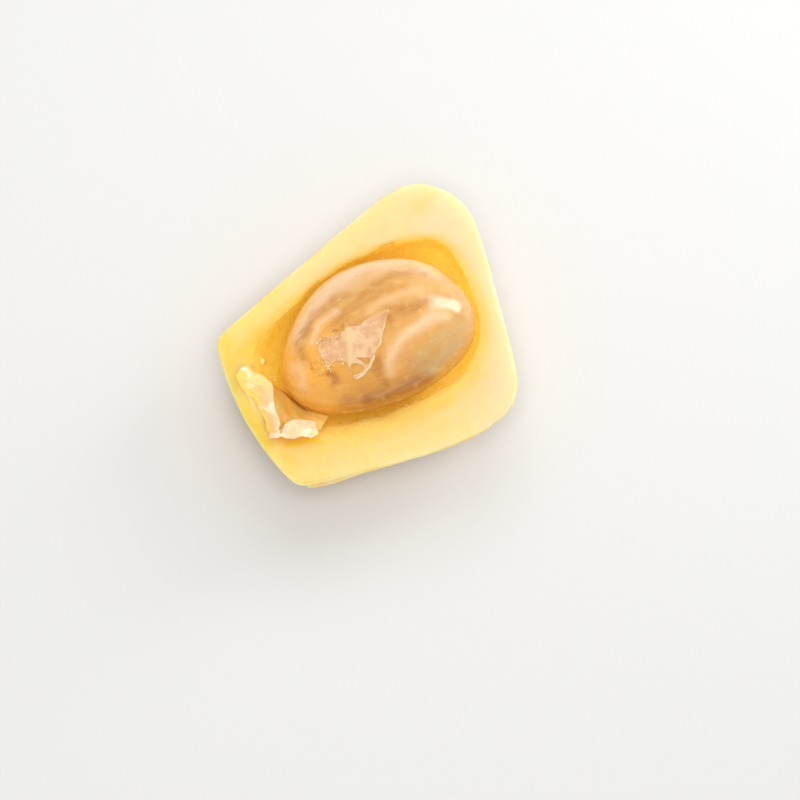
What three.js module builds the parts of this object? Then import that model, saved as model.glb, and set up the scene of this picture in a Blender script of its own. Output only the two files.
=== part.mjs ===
// One bulb of a jackfruit, halved lengthwise, with its seed still lying in the hollow.
// Millimetres. +X runs from the trimmed narrow end to the rounded wide end, +Z is up, out of the cut face,
// and the half lies on a small flat spot on its back. The origin is under the middle of the half.
import * as THREE from "three";

// Driving dimensions of the flesh.
const FACE_HEIGHT = 19; // cut face above the surface that the half lies on
const FLAT_SPOT_DEPTH = 0.7; // how much of the rounded back is pressed flat under the half
const EDGE_ROUNDING = 0.8; // soft edge between the back and the cut face
const HOLLOW_DEPTH = 12.6; // deepest point of the hollow below the cut face

// Outlines in the cut face: the straight stretches that bound them, each as the direction it faces in
// degrees and its distance from the outline's centre. A higher sharpness gives tighter corners.
const BULB_OUTLINE = {
  centre: [0, -1.5],
  sharpness: 11,
  sides: [[105, 20.0], [47, 33.4], [-12, 26.0], [-71, 28.4], [-101, 23.5], [137, 42.0]],
};
const BACK_SHARPNESS = 6; // the outline grows rounder towards the back
const HOLLOW_OUTLINE = {
  centre: [-1.5, -1.6],
  sharpness: 7,
  sides: [[108, 15.2], [79, 18.1], [-1, 23.7], [-51, 20.0], [-95, 13.4], [-126, 17.8], [170, 22.7]],
};

// The knife cut that trims the narrow end. Its corner is rounder on the near side.
const TRIM = { x: -28.2, middleY: -1.9, bow: 0.009, slope: 0.2, softness: 2.3, nearSoftness: 4.0 };
const NEAR_CORNER = [8, 22]; // how far to the near side that rounder corner starts and is full

// The rounded back: fullness is the exponent of its side view, 2 for an ellipse and more for a boxier form.
const BACK = { fullness: 2.35, poleX: 2.2, poleY: -1.6 };
const PRESSED_FACETS = [
  { facing: [0.3, -0.66, -0.69], distance: 23.0, softness: 3.5 },
  { facing: [0.55, 0.5, -0.67], distance: 24.2, softness: 3.5 },
];
const FACET_START_DEPTH = 1;
const FACET_FULL_DEPTH = 9;

// Low ridges that run along the back and meet at its ends, with narrower valleys between them.
const RIDGES = { count: 7, depth: 1.4, valleyWidth: 0.16, startDepth: 1, fullDepth: 7, clearOfPole: [5, 13] };

// The hollow's wall: steep on the far side, softer on the near side, and a slope at the narrow end.
const WALL = { steep: 3.4, sloping: 2.6, slopeFacing: -105, narrowEnd: 1.85, floorX: 1.4, floorY: -1.3 };

// The lip between the cut face and the wall: crisp on the far side and a wide rounding on the near side. Its
// drop is a share of its width, and it eases from a rounding at 0 towards a chamfer at 1.
const LIP = { crisp: 1.1, rounded: 5.6, drop: 0.6, ease: 0.35 };

// Driving dimensions of the seed and of the skin that clings to it.
const SEED = { halfLength: 19.5, halfWidth: 13.7, halfHeight: 10.9, wideEnd: 0.086, turn: -0.3 };
const SEED_LOBES = { swelling: 0.036, facing: -26 }; // three blunt corners, as a share of its radius in plan
const SEED_CENTRE = [1.35, -0.85, 17.9];
const CLEARANCE = 0.35; // between pieces that lie on each other
const FILM_THICKNESS = 0.6;

// The torn rag of seed sac at the narrow end: its edge on the cut face and its edge beside the seed.
const RAG_THICKNESS = 0.8;
const RAG_DROOP = 1.7; // the rag stays level over the cut face before it hangs into the hollow
const RAG_FOLD = { at: 0.84, width: 0.09, height: 0.9 }; // a thicker fold near the rag's far end
const RAG_OUTER_EDGE = [
  [-25.4, 4.4, 19.5], [-26.2, 2.6, 19.4], [-25.9, -0.4, 19.4], [-25.1, -3.2, 19.4],
  [-25.0, -6.0, 19.5], [-25.2, -9.0, 19.7], [-21.6, -12.0, 19.9], [-17.0, -13.8, 19.6],
];
const RAG_INNER_EDGE = [
  [-22.6, 3.6, 19.5], [-21.2, 1.2, 18.4], [-19.8, -1.4, 17.0], [-18.8, -3.5, 16.2],
  [-18.3, -5.2, 15.8], [-17.2, -7.2, 15.8], [-15.8, -8.9, 16.2], [-13.0, -11.1, 17.4],
];

// The torn film on top of the seed, as its outline in the seed's own plan.
const FILM_OUTLINE = [
  [-11.3, 3.3], [-7.9, 3.8], [-5.5, 3.2], [-3.2, 2.2], [-0.9, 3.2], [2.7, 2.6], [1.5, 0.1], [-0.0, -1.7],
  [-1.5, -3.5], [-2.9, -4.3], [-3.6, -5.9], [-5.6, -6.7], [-7.8, -6.2], [-7.6, -3.6], [-10.1, -1.8],
  [-12.0, -2.6], [-11.7, 0.3],
];

const MESH = { around: 96, back: 16, edge: 2, face: 3, lip: 5, wall: 10 };

const radians = THREE.MathUtils.degToRad;
const mix = THREE.MathUtils.lerp;
const smoothstep = THREE.MathUtils.smoothstep;

// Larger of two values, with the step between them rounded over about the given softness.
function softMax(a, b, softness) {
  return (a + b + Math.hypot(a - b, softness)) / 2;
}

// Distance from an outline's centre to the outline, in the direction of an angle.
function outlineRadius(outline, angle, sharpness = outline.sharpness) {
  let sum = 0;
  for (const [facing, distance] of outline.sides) {
    sum += Math.max(0, Math.cos(angle - radians(facing)) / distance) ** sharpness;
  }
  return sum ** (-1 / sharpness);
}

// How far a point in a superellipse's quarter lies out and down, each from 0 to 1.
function quarter(turn, fullness) {
  return {
    out: Math.max(0, Math.cos(turn)) ** (2 / fullness),
    down: Math.max(0, Math.sin(turn)) ** (2 / fullness),
  };
}

// A valley's relief, 0 on a ridge and 1 at the bottom of the valley between two ridges.
function valley(x, across) {
  const wander = 0.09 * Math.sin(0.11 * x + 0.6) + 0.13 * Math.sin(2 * across + 0.4);
  const phase = RIDGES.count * (across + wander);
  const strength = 0.72 + 0.28 * Math.sin(0.09 * x + 2.3 * across);
  return strength * (1 - Math.sqrt(Math.sin(phase) ** 2 + RIDGES.valleyWidth ** 2));
}

// Presses the valleys between the ridges into a point of the back.
function carveRidges(point, depth) {
  const y = point.y - BACK.poleY;
  const reach = Math.hypot(y, depth);
  const fromPole = Math.hypot(point.x - BACK.poleX, y);
  const nearBase = mix(1, smoothstep(fromPole, ...RIDGES.clearOfPole), smoothstep(depth, 12, 17));
  const fade = smoothstep(depth, RIDGES.startDepth, RIDGES.fullDepth) * nearBase;
  const carved = RIDGES.depth * fade * valley(point.x, Math.atan2(y, depth));
  point.y -= (carved * y) / reach;
  point.z += (carved * depth) / reach;
}

// Flattens the back where it was pressed against its neighbours in the fruit.
function pressFacets(point, depth) {
  const fade = smoothstep(depth, FACET_START_DEPTH, FACET_FULL_DEPTH);
  const from = new THREE.Vector3(BACK.poleX, BACK.poleY, FACE_HEIGHT);
  for (const facet of PRESSED_FACETS) {
    const facing = new THREE.Vector3(...facet.facing).normalize();
    const height = point.clone().sub(from).dot(facing);
    const pressed = softMax(0, height - facet.distance, facet.softness) - facet.softness / 2;
    point.addScaledVector(facing, -fade * Math.max(0, pressed));
  }
}

// Cuts the narrow end off with a knife.
function trimEnd(point) {
  const sideways = point.y - TRIM.middleY;
  const plane = TRIM.x + TRIM.bow * sideways ** 2 + TRIM.slope * (FACE_HEIGHT - point.z);
  const softness = mix(TRIM.softness, TRIM.nearSoftness, smoothstep(-point.y, ...NEAR_CORNER));
  point.x = softMax(point.x, plane, softness);
}

// A point of the back. The turn runs from 0 at the cut face to a right angle at the lowest point.
function backPoint(angle, turn) {
  const { out, down } = quarter(turn, BACK.fullness);
  const crisp = outlineRadius(BULB_OUTLINE, angle);
  const round = outlineRadius(BULB_OUTLINE, angle, BACK_SHARPNESS);
  const radius = out * mix(crisp, round, down ** 2);
  const depth = (FACE_HEIGHT + FLAT_SPOT_DEPTH) * down;
  const point = new THREE.Vector3(
    mix(BULB_OUTLINE.centre[0], BACK.poleX, down) + radius * Math.cos(angle),
    mix(BULB_OUTLINE.centre[1], BACK.poleY, down) + radius * Math.sin(angle),
    FACE_HEIGHT - depth,
  );
  pressFacets(point, depth);
  if (depth > 0) carveRidges(point, depth);
  trimEnd(point);
  point.z = Math.max(0, point.z);
  return point;
}

// 1 where the hollow's side is the soft slope, 0 on the steep far side.
function slopeShare(angle) {
  return (0.5 + 0.5 * Math.cos(angle - radians(WALL.slopeFacing))) ** 1.5;
}

// The exponent of the wall's side view at one angle, 2 for an ellipse and more for a steeper wall.
function wallFullness(angle) {
  const narrowEnd = Math.max(0, -Math.cos(angle)) ** 3;
  return mix(mix(WALL.steep, WALL.sloping, slopeShare(angle)), WALL.narrowEnd, narrowEnd);
}

// A point of the hollow's wall. The turn runs from 0 at the cut face to a right angle at the floor.
function wallPoint(angle, turn) {
  const { out, down } = quarter(turn, wallFullness(angle));
  const radius = outlineRadius(HOLLOW_OUTLINE, angle) * out;
  return new THREE.Vector3(
    mix(HOLLOW_OUTLINE.centre[0], WALL.floorX, down) + radius * Math.cos(angle),
    mix(HOLLOW_OUTLINE.centre[1], WALL.floorY, down) + radius * Math.sin(angle),
    FACE_HEIGHT - HOLLOW_DEPTH * down,
  );
}

// Points of the rounding between two points, which bends towards the corner. Both ends are left out.
function rounding(start, corner, end, steps) {
  const curve = new THREE.QuadraticBezierCurve3(start, corner, end);
  return curve.getPoints(steps + 1).slice(1, -1);
}

function turns(from, to, steps) {
  return Array.from({ length: steps }, (_, i) => mix(from, to, i / (steps - 1)));
}

// The flesh's section at one angle, from the lowest point of the back over the face to the hollow's floor.
function fleshSection(angle) {
  const edgeTurn = Math.asin((EDGE_ROUNDING / FACE_HEIGHT) ** (BACK.fullness / 2));
  const back = turns(Math.PI / 2, edgeTurn, MESH.back + 1).map((turn) => backPoint(angle, turn));
  const faceCorner = backPoint(angle, 0);
  const lipWidth = mix(LIP.crisp, LIP.rounded, slopeShare(angle));
  const hollowCorner = wallPoint(angle, 0);
  const across = hollowCorner.clone().sub(faceCorner);
  const unit = across.clone().normalize();
  const faceStart = faceCorner.clone().addScaledVector(unit, EDGE_ROUNDING);
  const faceEnd = hollowCorner.clone().addScaledVector(unit, -lipWidth);
  const lipTurn = Math.asin((LIP.drop * lipWidth / HOLLOW_DEPTH) ** (wallFullness(angle) / 2));
  const wall = turns(lipTurn, Math.PI / 2, MESH.wall + 1).map((turn) => wallPoint(angle, turn));
  const lipCorner = hollowCorner.clone().lerp(faceEnd.clone().add(wall[0]).multiplyScalar(0.5), LIP.ease);
  const face = turns(0, 1, MESH.face + 1).map((share) => faceStart.clone().lerp(faceEnd, share));
  return [
    ...back,
    ...rounding(back.at(-1), faceCorner, faceStart, MESH.edge),
    ...face,
    ...rounding(faceEnd, lipCorner, wall[0], MESH.lip),
    ...wall,
  ];
}

// A closed body from sections that all start at one pole and end at another, taken once round the body.
function bodyFromSections(sections) {
  const rings = sections[0].length - 2;
  const positions = [sections[0][0], sections[0].at(-1)];
  for (const section of sections) positions.push(...section.slice(1, -1));
  const at = (s, ring) => 2 + (s % sections.length) * rings + ring;
  const indices = [];
  for (let s = 0; s < sections.length; s += 1) {
    indices.push(0, at(s + 1, 0), at(s, 0));
    for (let ring = 0; ring < rings - 1; ring += 1) {
      indices.push(at(s, ring), at(s + 1, ring), at(s + 1, ring + 1));
      indices.push(at(s, ring), at(s + 1, ring + 1), at(s, ring + 1));
    }
    indices.push(1, at(s, rings - 1), at(s + 1, rings - 1));
  }
  const geometry = new THREE.BufferGeometry().setFromPoints(positions);
  geometry.setIndex(indices);
  geometry.computeVertexNormals();
  return geometry;
}

function fleshGeometry() {
  const sections = [];
  for (let i = 0; i < MESH.around; i += 1) {
    sections.push(fleshSection((2 * Math.PI * i) / MESH.around));
  }
  return bodyFromSections(sections);
}

// How much the seed's three blunt corners stretch its plan in the direction of a place.
function seedStretch(x, y) {
  const angle = Math.atan2(y / SEED.halfWidth, x / SEED.halfLength);
  return 1 + SEED_LOBES.swelling * Math.cos(3 * (angle - radians(SEED_LOBES.facing)));
}

// Height of the seed's upper surface over a place in its own plan, raised by a clearance.
function seedTop(x, y, raised) {
  const along = x / SEED.halfLength / seedStretch(x, y);
  const swell = 1 + SEED.wideEnd * along;
  const across = y / (SEED.halfWidth * swell) / seedStretch(x, y);
  const rest = 1 - along ** 2 - across ** 2;
  return SEED.halfHeight * swell * Math.sqrt(Math.max(0, rest)) + raised;
}

// The seed: an egg shape, a little wider at one end and with three blunt corners.
function seedGeometry() {
  const geometry = new THREE.SphereGeometry(1, 44, 26);
  geometry.rotateZ(Math.PI / 2);
  const place = geometry.attributes.position;
  for (let i = 0; i < place.count; i += 1) {
    const swell = 1 + SEED.wideEnd * place.getX(i);
    const x = SEED.halfLength * place.getX(i);
    const y = SEED.halfWidth * swell * place.getY(i);
    const stretch = seedStretch(x, y);
    place.setXYZ(i, x * stretch, y * stretch, SEED.halfHeight * swell * place.getZ(i));
  }
  geometry.computeVertexNormals();
  return geometry;
}

// The torn film: a thin sheet that follows the seed's top inside a ragged outline.
function filmGeometry() {
  const ragged = new THREE.CatmullRomCurve3(
    FILM_OUTLINE.map(([x, y]) => new THREE.Vector3(x, y, 0)), true, "centripetal",
  );
  const middle = new THREE.Vector3(-5.1, 0.2, 0);
  const shares = [0, 0.35, 0.7, 1];
  const onSeed = (plan, raised) => new THREE.Vector3(plan.x, plan.y, seedTop(plan.x, plan.y, raised));
  const sections = ragged.getSpacedPoints(48).slice(0, -1).map((rim) => {
    const plans = shares.map((share) => middle.clone().lerp(rim, share));
    const above = plans.map((plan) => onSeed(plan, CLEARANCE + FILM_THICKNESS));
    const below = plans.map((plan) => onSeed(plan, CLEARANCE));
    return [...below, ...above.reverse()];
  });
  return bodyFromSections(sections.reverse());
}

// The rag: a torn sheet between its two edges, rippled along its length, closed all round.
function ragGeometry() {
  const edge = (points) => new THREE.CatmullRomCurve3(points.map((p) => new THREE.Vector3(...p)));
  const outer = edge(RAG_OUTER_EDGE);
  const inner = edge(RAG_INNER_EDGE);
  const [along, across] = [30, 5];
  const surface = (u, v, raised) => {
    const [from, to] = [outer.getPoint(u), inner.getPoint(u)];
    const point = from.clone().lerp(to, v);
    point.z = mix(from.z, to.z, v ** RAG_DROOP);
    const ripple = 0.22 * Math.sin(Math.PI * v) * (1 + Math.sin(23 * u + 2 * v));
    const fold = RAG_FOLD.height * Math.exp(-(((u - RAG_FOLD.at) / RAG_FOLD.width) ** 2));
    point.z += raised * (1 + fold) + ripple;
    return point;
  };
  const positions = [];
  for (let i = 0; i <= along; i += 1) {
    for (let k = 0; k <= across; k += 1) positions.push(surface(i / along, k / across, RAG_THICKNESS));
    for (let k = across; k >= 0; k -= 1) positions.push(surface(i / along, k / across, 0));
  }
  const girth = 2 * (across + 1);
  const at = (i, k) => i * girth + (k % girth);
  const indices = [];
  for (let i = 0; i < along; i += 1) {
    for (let k = 0; k < girth; k += 1) {
      indices.push(at(i, k), at(i + 1, k + 1), at(i, k + 1));
      indices.push(at(i, k), at(i + 1, k), at(i + 1, k + 1));
    }
  }
  for (let k = 0; k < across; k += 1) {
    const opposite = girth - 1 - k;
    indices.push(at(0, k), at(0, k + 1), at(0, opposite - 1), at(0, k), at(0, opposite - 1), at(0, opposite));
    indices.push(at(along, k), at(along, opposite - 1), at(along, k + 1));
    indices.push(at(along, k), at(along, opposite), at(along, opposite - 1));
  }
  const geometry = new THREE.BufferGeometry().setFromPoints(positions);
  geometry.setIndex(indices);
  geometry.computeVertexNormals();
  return geometry;
}

function makeMesh(name, geometry, colour, roughness) {
  const material = new THREE.MeshStandardMaterial({ color: colour, roughness, metalness: 0 });
  const mesh = new THREE.Mesh(geometry, material);
  mesh.name = name;
  return mesh;
}

function makeSeed() {
  const turned = new THREE.Group();
  turned.position.set(...SEED_CENTRE);
  turned.rotation.z = radians(SEED.turn);
  turned.add(makeMesh("seed", seedGeometry(), 0xc98a4b, 0.2));
  turned.add(makeMesh("seed_film", filmGeometry(), 0xecc59a, 0.3));
  return turned;
}

const halfBulb = new THREE.Group();
halfBulb.add(makeMesh("bulb_flesh", fleshGeometry(), 0xf7d774, 0.4));
halfBulb.add(makeMesh("seed_sac_rag", ragGeometry(), 0xf6dcb4, 0.5));
halfBulb.add(makeSeed());

// The origin moves to the middle of the half's base.
const size = new THREE.Box3().setFromObject(halfBulb);
const middle = size.getCenter(new THREE.Vector3());
halfBulb.position.set(-middle.x, -middle.y, -size.min.z);

export default halfBulb;
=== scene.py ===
"""Looks of a halved jackfruit bulb: the flesh, the seed in its hollow, and the torn seed sac on both.
Shapes are worked out in millimetres, in the part's own coordinates, and placed on the frame."""
import math

import bpy
import numpy as np
from mathutils import Matrix, Quaternion, Vector
from mathutils.bvhtree import BVHTree
from mathutils.geometry import delaunay_2d_cdt


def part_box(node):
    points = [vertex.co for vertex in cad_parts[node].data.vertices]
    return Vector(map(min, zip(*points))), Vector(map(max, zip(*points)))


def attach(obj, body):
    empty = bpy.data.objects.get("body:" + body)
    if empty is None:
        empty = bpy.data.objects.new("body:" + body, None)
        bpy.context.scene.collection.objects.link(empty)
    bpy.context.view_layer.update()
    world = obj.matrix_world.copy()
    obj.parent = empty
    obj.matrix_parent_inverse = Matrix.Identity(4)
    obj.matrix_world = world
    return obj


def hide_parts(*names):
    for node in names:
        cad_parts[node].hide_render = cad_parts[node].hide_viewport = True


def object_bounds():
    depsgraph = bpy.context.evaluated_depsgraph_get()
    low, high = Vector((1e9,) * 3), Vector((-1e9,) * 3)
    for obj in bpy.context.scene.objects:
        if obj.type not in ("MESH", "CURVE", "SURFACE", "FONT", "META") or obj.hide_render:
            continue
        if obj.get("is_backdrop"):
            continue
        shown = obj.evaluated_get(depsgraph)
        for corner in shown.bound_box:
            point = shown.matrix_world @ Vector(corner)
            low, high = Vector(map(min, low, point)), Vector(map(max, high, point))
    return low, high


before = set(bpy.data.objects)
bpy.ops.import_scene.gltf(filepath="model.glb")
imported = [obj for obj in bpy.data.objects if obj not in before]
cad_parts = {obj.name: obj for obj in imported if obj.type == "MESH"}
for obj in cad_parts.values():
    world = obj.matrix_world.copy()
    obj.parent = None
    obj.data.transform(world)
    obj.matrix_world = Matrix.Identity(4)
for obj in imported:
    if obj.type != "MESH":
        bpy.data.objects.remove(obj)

cad_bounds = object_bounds()
MM = 0.001

# ---- driving dimensions, as in the part's source
FACE_HEIGHT = 19.0
FLAT_SPOT_DEPTH = 0.7
EDGE_ROUNDING = 0.8
HOLLOW_DEPTH = 12.6
BULB_OUTLINE = {
    "centre": (0.0, -1.5),
    "sharpness": 11,
    "sides": ((105, 20.0), (47, 33.4), (-12, 26.0), (-71, 28.4), (-101, 23.5), (137, 42.0)),
}
BACK_SHARPNESS = 6
HOLLOW_OUTLINE = {
    "centre": (-1.5, -1.6),
    "sharpness": 7,
    "sides": ((108, 15.2), (79, 18.1), (-1, 23.7), (-51, 20.0), (-95, 13.4), (-126, 17.8), (170, 22.7)),
}
TRIM = {"x": -28.2, "middle_y": -1.9, "bow": 0.009, "slope": 0.2, "softness": 2.3, "near_softness": 4.0}
NEAR_CORNER = (8, 22)
BACK = {"fullness": 2.35, "pole": (2.2, -1.6)}
PRESSED_FACETS = (
    {"facing": (0.3, -0.66, -0.69), "distance": 23.0, "softness": 3.5},
    {"facing": (0.55, 0.5, -0.67), "distance": 24.2, "softness": 3.5},
)
FACET_START_DEPTH, FACET_FULL_DEPTH = 1, 9
RIDGES = {"count": 7, "depth": 1.4, "valley_width": 0.16, "fade": (1, 7)}
RIDGES_END = {"from_pole": (5, 13), "depth": (12, 17)}
# Each sway is its height, its rate along the bulb and across the back, and where it starts.
RIDGE_WANDER = ((0.09, 0.11, 0, 0.6), (0.13, 0, 2, 0.4))
RIDGE_WEAKENING = (0.28, 0.09, 2.3, 0)
WALL = {"steep": 3.4, "sloping": 2.6, "slope_facing": -105, "narrow_end": 1.85, "floor": (1.4, -1.3)}
LIP = {"crisp": 1.1, "rounded": 5.6, "drop": 0.6, "ease": 0.35}
SEED = {"half_length": 19.5, "half_width": 13.7, "half_height": 10.9, "wide_end": 0.086, "turn": -0.3}
SEED_LOBES = {"swelling": 0.036, "facing": -26}
SEED_CENTRE = np.array([1.35, -0.85, 17.9])

# ---- how finely the pieces are meshed
NARROWEST_FACE = 0.8  # mm of flat face that the fine mesh keeps between the face's edge and the lip
# Steps round the flesh, and steps along each stretch of its section.
FLESH_MESH = {"around": 368, "back": 92, "edge": 6, "face": 30, "lip": 30, "wall": 76}
SEED_MESH = {"around": 256, "along": 150}


# ---- shape helpers
def smoothstep(value, low, high):
    share = np.clip((value - low) / (high - low), 0, 1)
    return share * share * (3 - 2 * share)


def mix(a, b, share):
    return a + (b - a) * share


def soft_max(a, b, softness):
    """Larger of two values, with the step between them rounded over."""
    return (a + b + np.hypot(a - b, softness)) / 2


def waves(points, length, seed, count=10):
    """Smooth noise around 0, mostly within 1: seeded plane waves about one length apart."""
    draw = np.random.default_rng(seed)
    total = np.zeros(points.shape[:-1])
    for _ in range(count):
        direction = draw.normal(size=3)
        direction /= np.linalg.norm(direction)
        wavelength = length * draw.uniform(0.7, 1.5)
        turn = points @ direction * (2 * np.pi / wavelength)
        total += np.sin(turn + draw.uniform(0, 2 * np.pi))
    return total / math.sqrt(count)


def rough(points, layers):
    """Layers of smooth noise, each given by its height, length, seed and number of waves, if not 10."""
    return sum(height * waves(points, *layer) for height, *layer in layers)


def drift(points, layers):
    """Sideways noise in two directions. A layer is its height, length and a seed for each direction."""
    return sum(
        height * np.stack([waves(points, length, seed) for seed in seeds], -1)
        for height, length, seeds in layers
    )


def outline_radius(outline, angle, sharpness=None):
    """Distance from an outline's centre to the outline, in the direction of an angle."""
    sharpness = sharpness or outline["sharpness"]
    total = np.zeros_like(angle)
    for facing, distance in outline["sides"]:
        total += np.maximum(0, np.cos(angle - math.radians(facing)) / distance) ** sharpness
    return total ** (-1 / sharpness)


def quarter(turn, fullness):
    """How far a point in a superellipse's quarter lies out and down, each from 0 to 1."""
    out = np.maximum(0, np.cos(turn)) ** (2 / fullness)
    down = np.maximum(0, np.sin(turn)) ** (2 / fullness)
    return out, down


def sway(x, across, height, along_rate, across_rate, start):
    return height * np.sin(along_rate * x + across_rate * across + start)


def valley_relief(x, across):
    """0 on a ridge and 1 at the bottom of the valley between two ridges."""
    wander = sum(sway(x, across, *wave) for wave in RIDGE_WANDER)
    phase = RIDGES["count"] * (across + wander)
    strength = 1 - RIDGE_WEAKENING[0] + sway(x, across, *RIDGE_WEAKENING)
    return strength * (1 - np.sqrt(np.sin(phase) ** 2 + RIDGES["valley_width"] ** 2))


def press_facets(points, depth):
    """Flattens the back where it was pressed against its neighbours in the fruit."""
    fade = smoothstep(depth, FACET_START_DEPTH, FACET_FULL_DEPTH)
    start = np.array([*BACK["pole"], FACE_HEIGHT])
    for facet in PRESSED_FACETS:
        facing = np.array(facet["facing"])
        facing = facing / np.linalg.norm(facing)
        height = (points - start) @ facing
        pressed = soft_max(0, height - facet["distance"], facet["softness"]) - facet["softness"] / 2
        points = points - (fade * np.maximum(0, pressed))[..., None] * facing
    return points


def carve_ridges(points, depth):
    """Presses the valleys between the ridges into the back. Also returns the relief, for the colours."""
    x, y = points[..., 0] - BACK["pole"][0], points[..., 1] - BACK["pole"][1]
    reach = np.maximum(np.hypot(y, depth), 1e-6)
    from_pole = np.hypot(x, y)
    clear = smoothstep(from_pole, *RIDGES_END["from_pole"])
    fade = smoothstep(depth, *RIDGES["fade"]) * mix(1, clear, smoothstep(depth, *RIDGES_END["depth"]))
    across = np.arctan2(y, depth)
    relief = valley_relief(points[..., 0], across)
    carved = RIDGES["depth"] * fade * relief
    points = points.copy()
    points[..., 1] -= carved * y / reach
    points[..., 2] += carved * depth / reach
    return points, relief * smoothstep(depth, *VALLEY_COLOUR_FADE)


def trim_end(points):
    """Cuts the narrow end off. Also returns 1 on the cut end and 0 elsewhere."""
    sideways = points[..., 1] - TRIM["middle_y"]
    plane = TRIM["x"] + TRIM["bow"] * sideways**2 + TRIM["slope"] * (FACE_HEIGHT - points[..., 2])
    on_end = smoothstep(plane - points[..., 0], *TRIM_COLOUR_FADE)
    points = points.copy()
    softness = mix(TRIM["softness"], TRIM["near_softness"], smoothstep(-points[..., 1], *NEAR_CORNER))
    points[..., 0] = soft_max(points[..., 0], plane, softness)
    return points, on_end


def round_axis(top, bottom, down, angle, radius, height):
    """Points round an axis that leans from its place at the top to its place at the bottom."""
    x = mix(top[0], bottom[0], down) + radius * np.cos(angle)
    y = mix(top[1], bottom[1], down) + radius * np.sin(angle)
    return np.stack([x, y, height + 0 * x], axis=-1)


def back_points(angle, turn):
    """Points of the back, with their ridge relief and their share of the trimmed end."""
    out, down = quarter(turn, BACK["fullness"])
    crisp = outline_radius(BULB_OUTLINE, angle)
    rounder = outline_radius(BULB_OUTLINE, angle, BACK_SHARPNESS)
    radius = out * mix(crisp, rounder, down**2)
    depth = (FACE_HEIGHT + FLAT_SPOT_DEPTH) * down + 0 * radius
    points = round_axis(BULB_OUTLINE["centre"], BACK["pole"], down, angle, radius, FACE_HEIGHT - depth)
    points, relief = carve_ridges(press_facets(points, depth), depth)
    points, on_end = trim_end(points)
    points[..., 2] = np.maximum(0, points[..., 2])
    return points, relief, on_end


def slope_share(angle):
    """1 where the hollow's side is the soft slope, 0 on the steep far side."""
    return (0.5 + 0.5 * np.cos(angle - math.radians(WALL["slope_facing"]))) ** 1.5


def wall_fullness(angle):
    """The exponent of the wall's side view, 2 for an ellipse and more for a steeper wall."""
    narrow_end = np.maximum(0, -np.cos(angle)) ** 3
    return mix(mix(WALL["steep"], WALL["sloping"], slope_share(angle)), WALL["narrow_end"], narrow_end)


def wall_points(angle, turn):
    out, down = quarter(turn, wall_fullness(angle))
    radius = outline_radius(HOLLOW_OUTLINE, angle) * out
    height = FACE_HEIGHT - HOLLOW_DEPTH * down
    return round_axis(HOLLOW_OUTLINE["centre"], WALL["floor"], down, angle, radius, height)


def bent(start, corner, end, steps):
    """Points between start and end along a curve that bends towards the corner."""
    share = (np.arange(1, steps + 1) / (steps + 1))[None, :, None]
    return (1 - share) ** 2 * start + 2 * share * (1 - share) * corner + share**2 * end


def grid_normals(points):
    """Outward directions on a grid that closes on itself round its first axis."""
    around = np.roll(points, -1, 0) - np.roll(points, 1, 0)
    along = np.gradient(points, axis=1)
    normals = np.cross(around, along)
    length = np.linalg.norm(normals, axis=-1, keepdims=True)
    return normals / np.maximum(length, 1e-9)


def solid_from_grid(points, attributes):
    """Points, faces and attributes of a grid that closes round its first axis, with a pole at each end."""
    around, along = points.shape[:2]
    ring = np.arange(around * (along - 2)).reshape(around, along - 2) + 2
    after = np.roll(ring, -1, 0)
    quads = np.stack([ring[:, :-1], after[:, :-1], after[:, 1:], ring[:, 1:]], -1).reshape(-1, 4).tolist()
    first = [(0, int(b), int(a)) for a, b in zip(ring[:, 0], after[:, 0])]
    last = [(1, int(a), int(b)) for a, b in zip(ring[:, -1], after[:, -1])]

    def flat(values):
        values = np.broadcast_to(values, points.shape[:2] + np.shape(values)[2:])
        middle = values[:, 1:-1].reshape((-1,) + values.shape[2:])
        return np.concatenate([values[0, :1], values[0, -1:], middle])

    return flat(points), quads + first + last, {name: flat(values) for name, values in attributes.items()}


def add_object(name, data):
    added = bpy.data.objects.new(name, data)
    bpy.context.scene.collection.objects.link(added)
    return added


def make_piece(name, solids):
    """One object from one or more solids, each with the same attributes."""
    vertices, faces, first = [], [], 0
    for points, own_faces, _ in solids:
        vertices.append(points)
        faces += [tuple(corner + first for corner in face) for face in own_faces]
        first += len(points)
    mesh = bpy.data.meshes.new(name)
    mesh.from_pydata((np.concatenate(vertices) * MM).tolist(), [], faces)
    for label in solids[0][2]:
        values = np.concatenate([attributes[label] for _, _, attributes in solids]).astype(np.float32)
        is_vector = values.ndim == 2
        layer = mesh.attributes.new(label, "FLOAT_VECTOR" if is_vector else "FLOAT", "POINT")
        layer.data.foreach_set("vector" if is_vector else "value", values.ravel())
    mesh.shade_smooth()
    mesh.update()
    return add_object(name, mesh)


def spline(points, shares):
    """Points at shares from 0 to 1 of a smooth curve through the given points."""
    points = np.array(points, float)
    padded = np.concatenate([[2 * points[0] - points[1]], points, [2 * points[-1] - points[-2]]])
    place = np.clip(shares, 0, 1) * (len(points) - 1)
    first = np.minimum(place.astype(int), len(points) - 2)
    t = (place - first)[:, None]
    a, b, c, d = (padded[first + k] for k in range(4))
    return 0.5 * (2 * b + (c - a) * t + (2 * a - 5 * b + 4 * c - d) * t**2 + (3 * b - a - 3 * c + d) * t**3)


def nearness(distance, reach):
    return np.exp(-((distance / reach) ** 2))


def closed(line):
    return np.concatenate([line, line[:1]])


def distance_to_line(plan, line):
    """Distance of each point from a line through the given points, both in plan."""
    nearest = np.full(plan.shape[:-1], np.inf)
    for start, end in zip(line[:-1], line[1:]):
        along = end - start
        share = np.clip((plan - start) @ along / (along @ along), 0, 1)
        nearest = np.minimum(nearest, np.linalg.norm(plan - start - share[..., None] * along, axis=-1))
    return nearest


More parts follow.
